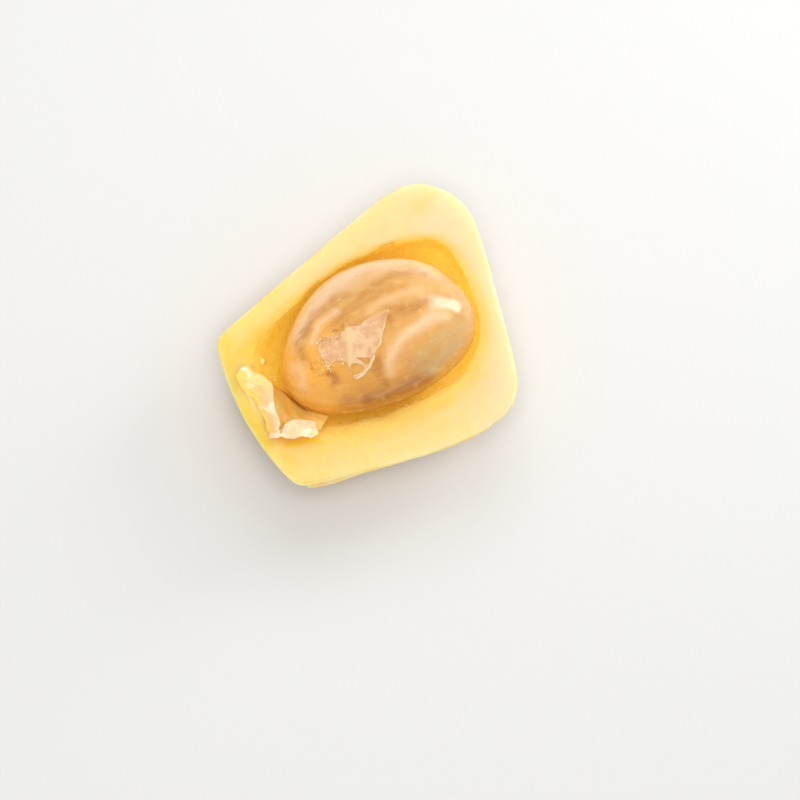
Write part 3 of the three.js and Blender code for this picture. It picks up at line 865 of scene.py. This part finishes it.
def film_spots(draw):
    """Where tiny beads lie on the film and on the seed beside it."""
    for line, _, _ in FILM_GRAINS:
        plan = spline(line, draw.uniform(0, 1, FILM_BEADS["count"]))
        plan = plan + draw.normal(0, FILM_BEADS["scatter"], plan.shape)
        for x, y in plan:
            base = np.array([x, y, seed_top(np.array([x, y])) + FILM_BEADS["over_seed"]])
            yield seed_to_part(base), np.array([0.0, 0.0, 1.0]), draw.uniform(*FILM_BEADS["radii"])


def make_droplets(points, first_column):
    """Small beads of juice on the hollow's lip and wall and on the film."""
    draw = np.random.default_rng(BEAD_SEED)
    spots = [*flesh_spots(points, first_column, draw), *film_spots(draw)]
    return make_piece("juice_beads", [make_bead(*spot) for spot in spots])


# ---- materials
def colour(red, green, blue):
    """A screen colour, 0 to 255, as the linear colour that a shader takes."""
    values = [c / 255 for c in (red, green, blue)]
    return tuple(c / 12.92 if c <= 0.04045 else ((c + 0.055) / 1.055) ** 2.4 for c in values) + (1,)


class Shader:
    """A material's node tree, with one short call for each kind of node.

    A mask is a socket, or the name of one of the shader's own masks or of an attribute of the mesh.
    """

    def __init__(self, name):
        self.material = bpy.data.materials.new(name)
        self.material.use_nodes = True
        self.tree = self.material.node_tree
        self.surface = self.tree.nodes["Principled BSDF"]
        self.place = self.tree.nodes.new("ShaderNodeTexCoord").outputs["Object"]
        self.masks = {}

    def node(self, kind, result, inputs, **settings):
        """A new node with its inputs linked or set. Gives the named or numbered output."""
        node = self.tree.nodes.new("ShaderNode" + kind)
        for name, value in settings.items():
            setattr(node, name, value)
        for name, value in inputs.items():
            self.plug(node.inputs[name], value)
        return node.outputs[result]

    def plug(self, socket, value):
        if isinstance(value, bpy.types.NodeSocket):
            self.tree.links.new(value, socket)
        else:
            socket.default_value = value

    def mask(self, given):
        if not isinstance(given, str):
            return given
        return self.masks[given] if given in self.masks else self.attribute(given)

    def attribute(self, name, output="Fac"):
        return self.node("Attribute", output, {}, attribute_name=name)

    def stretched(self, *factors):
        return self.node("Mapping", "Vector", {"Vector": self.place, "Scale": factors})

    def noise(self, size_mm, detail=3.0, place=None, distortion=0.0):
        """Cloudy noise, 0 to 1, whose largest features are about this size."""
        inputs = {"Vector": place or self.place, "Scale": 1 / (size_mm * MM)}
        return self.node("TexNoise", "Fac", {**inputs, "Detail": detail, "Distortion": distortion})

    def cells(self, size_mm, smoothness=0.4):
        inputs = {"Vector": self.place, "Scale": 1 / (size_mm * MM), "Smoothness": smoothness}
        return self.node("TexVoronoi", "Distance", inputs, feature="SMOOTH_F1")

    def spread(self, value, low, high, to_low=0.0, to_high=1.0):
        inputs = {"Value": value, "From Min": low, "From Max": high, "To Min": to_low, "To Max": to_high}
        return self.node("MapRange", "Result", inputs, interpolation_type="SMOOTHSTEP")

    def maths(self, operation, a, b):
        return self.node("Math", 0, {0: self.mask(a), 1: self.mask(b)}, operation=operation)

    def times(self, a, b):
        return self.maths("MULTIPLY", a, b)

    def blend(self, share, a, b):
        return self.node("Mix", 2, {0: self.mask(share), 6: a, 7: b}, data_type="RGBA")

    def between(self, share, colours):
        """A mix of two screen colours."""
        return self.blend(share, colour(*colours[0]), colour(*colours[1]))

    def over(self, base, layers):
        """Screen colours laid over a base one by one. A layer is a mask, its strength and its colour."""
        for mask, strength, paint in layers:
            base = self.blend(self.times(mask, strength), base, colour(*paint))
        return base

    def bump(self, height, depth_mm, strength=1.0, under=None):
        inputs = {"Height": height, "Distance": depth_mm * MM, "Strength": self.mask(strength)}
        if under is not None:
            inputs["Normal"] = under
        return self.node("Bump", "Normal", inputs)

    def set(self, **sockets):
        for name, value in sockets.items():
            self.plug(self.surface.inputs[name.replace("_", " ")], value)


# Screen colours, and layers of mask, strength and colour, from the lowest layer up.
FACE_COLOURS = ((250, 204, 146), (251, 203, 165))  # the cut face's middle, and its cool wide end
# The stain layer also holds painted shade under the flap.
FACE_LAYERS = (
    ("warm_clouds", 1, (249, 196, 104)), ("fine", 0.18, (252, 222, 176)),
    ("mottled", 0.16, (248, 194, 96)), ("stain_and_flap_shade", 0.85, (246, 184, 48)),
)
FACE_RIM = (("golden", 0.95, (250, 192, 82)),)
RIDGE_COLOURS = ((250, 214, 150), (247, 196, 108))
BACK_LAYERS = (
    ("valleys", 1, (242, 176, 48)), ("streaks", 0.4, (244, 188, 72)),
)
CUT_END_COLOURS = ((250, 214, 154), (247, 200, 116))
# On the wall, the layer on the side toward the window lamp is painted light, and the layers on the far wall
# and beside the seed are painted shade.
WALL_LAYERS = (
    ("golden", 1, (250, 200, 100)), ("shallow", 1, (252, 218, 128)), ("half_deep", 1, (251, 210, 86)),
    ("deep", 1, (250, 202, 54)), ("cloudy", 0.25, (252, 220, 104)), ("window_lit_side", 0.8, (252, 230, 144)),
    ("far_wall_shade", 1, (250, 204, 78)), ("painted_seed_shade", 0.6, (228, 144, 26)), ("stain_and_flap_shade", 0.8, (246, 186, 48)),
)
SLIT_SHADE = (("slit", 0.8, (240, 200, 26)),)
# Glow of the hollow's wall, which stands in for light that comes to it through the translucent flesh.
GLOW_COLOUR = (255, 208, 70)
GLOW = 0.2
GLOW_WINDOW_SIDE = 0.34
GLOW_FAR_SIDE = 0.22

SEED_BANDS = ((214, 165, 92), (205, 150, 78))
# On the seed, the warm layer is painted bounce light from the flesh, and the layer at the left end is
# painted light coming through it.
SEED_SIDES = (
    ("warm", 0.7, (222, 154, 56)), ("left", 0.7, (250, 182, 70)), ("light", 0.85, (240, 206, 170)),
)
# Painted shade on the seed's lower side: dark brown to the right, warm orange towards the lit left end.
SEED_LOW_SHADE_COLOURS = ((192, 108, 18), (244, 164, 60))  # right and left
# The first layer is painted shade on the seed's underside.
SEED_LAYERS = (
    ("under", 0.75, (164, 92, 22)), ("rough_dark", 1, (170, 100, 30)), ("pink", 0.6, (206, 148, 98)),
    ("mottled_grey", 1, (200, 168, 112)), ("coarse", 0.25, (198, 136, 66)),
    ("pale", 0.35, (230, 188, 112)), ("specks", 0.35, (184, 118, 54)),
    ("rough_crumbs", 1, (190, 118, 48)),
)
FILM_COLOURS = ((252, 214, 166), (248, 202, 156))
FILM_LAYERS = (
    ("fold", 1, (254, 220, 164)), ("edge", 1, (255, 228, 184)), ("grains", 1, (232, 170, 84)),
)
SHEET_COLOURS = ((208, 172, 80), (222, 160, 70))
# The first layer is painted shadow where the sheet meets the seed.
SHEET_LAYERS = (
    ("painted_seed_shade", 1, (150, 84, 24)), ("far_end", 0.8, (248, 202, 116)),
)
STRIP_COLOURS = ((252, 216, 142), (252, 208, 136))
# The last layer, here and on the flap, is painted highlights in spots.
STRIP_LAYERS = (
    ("lower", 0.8, (251, 198, 154)), ("laid", 1, (252, 206, 96)), ("painted_glints", 0.75, (255, 240, 214)),
)
FLAP_COLOURS = ((250, 216, 168), (248, 200, 158))
FLAP_LAYERS = (("painted_glints", 0.75, (255, 240, 214)),)
CREASE_SHADE = (("crease", 0.8, (206, 140, 40)),)
JUICE_COLOURS = ((255, 236, 164), (255, 224, 130))
FLOOR_GREYS = ((0.68, 0.68, 0.67, 1), (0.66, 0.66, 0.65, 1))  # linear


def flesh_material():
    s = Shader("jackfruit_flesh")
    depth = s.attribute("depth")
    cloudy = s.spread(s.noise(9, 4), 0.38, 0.66)
    streaks = s.spread(s.noise(2.6, 3, s.stretched(0.16, 1, 1)), 0.5, 0.72)
    s.masks = {
        "cloudy": cloudy,
        "streaks": streaks,
        "fine": s.spread(s.noise(1.6, 5), 0.3, 0.75),
        "mottled": s.spread(s.noise(3.2, 5, s.stretched(0.35, 1, 1)), 0.45, 0.7),
        "warm_clouds": s.maths("ADD", "warm", s.times(s.maths("SUBTRACT", cloudy, 0.5), 0.35)),
        "valleys": s.times(s.spread(s.attribute("valley"), 0.25, 0.85), s.maths("ADD", streaks, 0.35)),
        "shallow": s.spread(depth, 0.0, 0.2),
        "half_deep": s.spread(depth, 0.12, 0.4),
        "deep": s.spread(depth, 0.35, 0.75),
        # painted shade on the far wall, from a little below the lip
        "far_wall_shade": s.times("far_side", s.spread(depth, 0.08, 0.35, 0.0, 0.6)),
    }
    face = s.over(s.between("cool", FACE_COLOURS), FACE_LAYERS)
    ridged = s.over(s.between(cloudy, RIDGE_COLOURS), BACK_LAYERS)
    outside = s.blend("on_end", ridged, s.between(cloudy, CUT_END_COLOURS))
    colours = s.blend("on_back", s.over(face, FACE_RIM), outside)
    colours = s.blend("in_hollow", colours, s.over(face, WALL_LAYERS))
    glow = s.spread(s.attribute("window_lit_side"), 0, 1, GLOW, GLOW_WINDOW_SIDE)
    glow = s.spread(s.attribute("far_side"), 0, 1, glow, GLOW_FAR_SIDE)
    glow = s.times(glow, s.spread(depth, 0.0, 0.07))
    relief = s.bump(s.noise(1.0, 4, s.stretched(0.12, 1, 1)), 0.10, 0.5)
    relief = s.bump(s.noise(0.35, 3), 0.03, 0.5, relief)
    relief = s.bump(s.cells(0.6), 0.10, s.times("in_hollow", 0.6), relief)
    dullness = s.maths("ADD", s.times("in_hollow", -0.55), "fine")
    s.set(
        Base_Color=s.over(colours, SLIT_SHADE),
        Roughness=s.spread(dullness, -0.55, 1.0, 0.24, 0.5),
        Normal=relief,
        Subsurface_Weight=1.0,
        Subsurface_Radius=(1.0, 0.75, 0.3),
        Subsurface_Scale=0.012,
        Coat_Weight=s.maths("ADD", s.times("in_hollow", 0.45), 0.10),
        Coat_Roughness=0.22,
        Emission_Color=colour(*GLOW_COLOUR),
        Emission_Strength=s.times("in_hollow", glow),
    )
    return s.material


def seed_material():
    s = Shader("seed_coat")
    along = s.attribute("unrolled", "Vector")
    grain = s.noise(1.1, 6, along, 0.4)
    bands = s.spread(s.noise(4.4, 3, along, 0.3), 0.36, 0.68)
    mottle = s.noise(2.0, 5)
    s.masks = {
        "rough_dark": s.times("dark", s.spread(grain, 0.25, 0.6, 0.45, 1.0)),
        "mottled_grey": s.times("grey", s.spread(mottle, 0.3, 0.6, 0.55, 1.0)),
        "coarse": s.spread(grain, 0.5, 0.75),
        "pale": s.spread(mottle, 0.52, 0.7),
        "specks": s.spread(s.noise(0.55, 3), 0.62, 0.72),
        "rough_crumbs": s.times("crumbs", s.spread(s.noise(0.7, 4), 0.5, 0.7)),
    }
    tan = s.over(s.between(bands, SEED_BANDS), SEED_SIDES)
    # Painted shade on the seed's lower side.
    tan = s.blend(s.times("low", 0.85), tan, s.between("left", SEED_LOW_SHADE_COLOURS))
    wet = s.bump(s.noise(0.6, 3, along, 0.6), 0.02)
    wet = s.bump(s.noise(0.5, 3), 0.05, "wet_wrinkles", wet)
    s.set(
        Base_Color=s.over(tan, SEED_LAYERS),
        Roughness=s.spread(bands, 0.0, 1.0, 0.26, 0.38),
        Normal=s.bump(s.noise(0.8, 4), 0.16, "crumbs", s.bump(grain, 0.05, 0.4)),
        Subsurface_Weight=0.5,
        Subsurface_Radius=(1.0, 0.55, 0.3),
        Subsurface_Scale=0.002,
        Specular_IOR_Level=0.15,
        Coat_Weight=1.0,
        Coat_Roughness=0.03,
        Coat_IOR=1.5,
        Coat_Normal=s.bump(s.noise(0.7, 4), 0.10, "crumbs", wet),
    )
    return s.material


def film_material():
    s = Shader("torn_film")
    patchy = s.spread(s.noise(2.6, 4), 0.35, 0.65)
    s.masks = {"grains": s.times("grainy", s.spread(s.noise(0.5, 4), 0.45, 0.6))}
    cover = s.maths("MAXIMUM", s.times("edge", 0.8), s.spread(patchy, 0.0, 1.0, 0.6, 0.36))
    cover = s.maths("MAXIMUM", cover, s.times("fold", 0.78))
    relief = s.bump(s.noise(0.9, 4), 0.06, 0.5)
    relief = s.bump(s.noise(0.45, 3), 0.25, "grainy", relief)
    s.set(
        Base_Color=s.over(s.between(patchy, FILM_COLOURS), FILM_LAYERS),
        Roughness=0.3,
        Normal=relief,
        Alpha=s.times(cover, s.spread(s.attribute("tip"), 0.0, 1.0, 1.0, 0.35)),
        Coat_Weight=0.9,
        Coat_Roughness=0.06,
        Coat_Normal=relief,
    )
    return s.material


def rag_material():
    s = Shader("sac_rag")
    patchy = s.spread(s.noise(2.4, 4), 0.35, 0.65)
    s.masks = {
        "laid": s.spread(s.attribute("free"), 0.1, 0.9, 1.0, 0.0),
        # spots of painted highlight on the strip and the flap
        "painted_glints": s.spread(s.noise(3.4, 2), 0.52, 0.64),
    }
    sheet = s.over(s.between(patchy, SHEET_COLOURS), SHEET_LAYERS)
    strip = s.over(s.between(patchy, STRIP_COLOURS), STRIP_LAYERS)
    flap = s.over(s.between(patchy, FLAP_COLOURS), FLAP_LAYERS)
    tint = s.blend("on_flap", s.blend("on_strip", sheet, strip), flap)
    s.set(
        Base_Color=s.over(tint, CREASE_SHADE),
        Roughness=0.36,
        Normal=s.bump(s.noise(0.8, 4), 0.08, 0.5),
        Subsurface_Weight=0.5,
        Subsurface_Radius=(1.0, 0.7, 0.4),
        Subsurface_Scale=0.0005,
        Coat_Weight=0.35,
        Coat_Roughness=0.15,
    )
    return s.material


def juice_material():
    s = Shader("juice")
    s.set(
        Base_Color=s.between(s.noise(2, 2), JUICE_COLOURS),
        Roughness=0.08,
        IOR=1.34,
        Coat_Weight=1.0,
        Coat_Roughness=0.03,
    )
    return s.material


def floor_material():
    s = Shader("pale_floor")
    s.set(Base_Color=s.blend(s.noise(300, 2), *FLOOR_GREYS), Roughness=0.6)
    return s.material


# ---- placing the pieces
def place(piece, node, slot, material, shift):
    piece.data.transform(Matrix.Translation(shift))
    piece.data.materials.append(material)
    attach(piece, "root")
    if node:
        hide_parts(node)


def frame_shift(flesh):
    """From the part's own coordinates to the frame's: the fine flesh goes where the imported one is."""
    low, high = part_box("bulb_flesh")
    corners = [Vector(corner) for corner in flesh.bound_box]
    middle = sum(corners, Vector()) / 8
    shift = (low + high) / 2 - middle
    shift.z = 0
    return shift


def build_object():
    surface, masks = flesh_grid()
    surface = detail_flesh(surface, masks)
    flesh = make_flesh(surface, masks)
    shift = frame_shift(flesh)
    rag = make_rag(flesh)
    place(flesh, "bulb_flesh", "flesh", flesh_material(), shift)
    place(make_seed(), "seed", "seed_coat", seed_material(), shift)
    place(make_film(), "seed_film", "seed_film", film_material(), shift)
    place(rag, "seed_sac_rag", "seed_sac", rag_material(), shift)
    lip_column = surface.shape[1] - FLESH_MESH["lip"] - FLESH_MESH["wall"]
    place(make_droplets(surface, lip_column), None, "flesh", juice_material(), shift)
    return shift


# ---- stage, camera and light
FLOOR_REACH = 1.5
CAMERA_DISTANCE = 0.6
MM_PER_PIXEL = 0.19  # at the cut face
LEAN, LEAN_TOWARDS = 12.0, -115.0  # of the view off the cut face's normal, and the side it leans to
BULB_AXIS = 26.7  # how far +X lies above the picture's right
PICTURE = 800
ANCHOR_PIXEL = (367, 336)  # where the middle of the cut face lies in the picture


def picture_axes():
    """The picture's right and up directions, seen from straight above, in the frame's axes."""
    turn = Matrix.Rotation(math.radians(-BULB_AXIS), 3, "Z")
    return turn @ Vector((1, 0, 0)), turn @ Vector((0, 1, 0))


def towards(azimuth, elevation):
    """A direction given by the angle round the picture from its right, and the height above the table."""
    right, up = picture_axes()
    level = math.cos(math.radians(azimuth)) * right + math.sin(math.radians(azimuth)) * up
    high = math.radians(elevation)
    return math.cos(high) * level + math.sin(high) * Vector((0, 0, 1))


def make_camera(anchor):
    sight = towards(LEAN_TOWARDS, 90 - LEAN)
    right = picture_axes()[1].cross(sight).normalized()
    up = sight.cross(right)
    looking = Matrix((right, up, sight)).transposed()
    focal_pixels = CAMERA_DISTANCE / (MM_PER_PIXEL * MM)
    off_centre = Vector((ANCHOR_PIXEL[0] - PICTURE / 2, PICTURE / 2 - ANCHOR_PIXEL[1], -focal_pixels))
    swing = Vector((0, 0, -1)).rotation_difference(off_centre.normalized()).to_matrix()
    data = bpy.data.cameras.new("camera")
    data.sensor_width = 36
    data.lens = data.sensor_width * focal_pixels / PICTURE
    data.clip_start, data.clip_end = 0.01, 10
    camera = add_object("camera", data)
    matrix = (looking @ swing.inverted()).to_4x4()
    matrix.translation = anchor + CAMERA_DISTANCE * sight
    camera.matrix_world = matrix
    bpy.context.scene.camera = camera


def make_floor():
    mesh = bpy.data.meshes.new("floor")
    corners = [(x * FLOOR_REACH, y * FLOOR_REACH, 0) for x, y in ((-1, -1), (1, -1), (1, 1), (-1, 1))]
    mesh.from_pydata(corners, [], [(0, 1, 2, 3)])
    floor = add_object("floor", mesh)
    mesh.materials.append(floor_material())
    floor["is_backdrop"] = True


LAMPS = (  # name, azimuth and elevation in the picture, roll, distance, size, power, and what it lights
    ("overhead", -115, 80, 0, 0.60, (0.26, 0.26), 1.7, "matte"),
    ("soft_key", 95, 52, 0, 0.60, (0.40, 0.40), 1.0, "matte"),
    ("window", 36, 20, -24, 0.45, (0.16, 0.42), 0.9, "matte"),
    ("window_shine", 35, 19, -24, 0.45, (0.16, 0.40), 1.7, "gloss"),
)
ROOM_LIGHT = {"Color": (1.0, 0.99, 0.975, 1), "Strength": 0.62}


def make_lights(anchor):
    for name, azimuth, elevation, roll, distance, size, power, lights in LAMPS:
        data = bpy.data.lights.new(name, "AREA")
        data.shape = "RECTANGLE"
        data.size, data.size_y = size
        data.energy = power
        lamp = add_object(name, data)
        direction = towards(azimuth, elevation)
        lamp.location = anchor + distance * direction
        facing = direction.to_track_quat("Z", "Y") @ Quaternion((0, 0, 1), math.radians(roll))
        lamp.rotation_euler = facing.to_euler()
        lamp.visible_glossy = lights == "gloss"
        lamp.visible_diffuse = lights == "matte"
    world = bpy.data.worlds.new("soft_room")
    bpy.context.scene.world = world
    world.use_nodes = True
    for name, value in ROOM_LIGHT.items():
        world.node_tree.nodes["Background"].inputs[name].default_value = value
    bpy.context.scene.view_settings.view_transform = "Standard"


shift = build_object()
anchor = shift + Vector((0, 0, FACE_HEIGHT * MM))
make_camera(anchor)
make_floor()
make_lights(anchor)

sizes = {"cad": cad_bounds, "visual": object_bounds()}
{name: [list(corner) for corner in box] for name, box in sizes.items()}
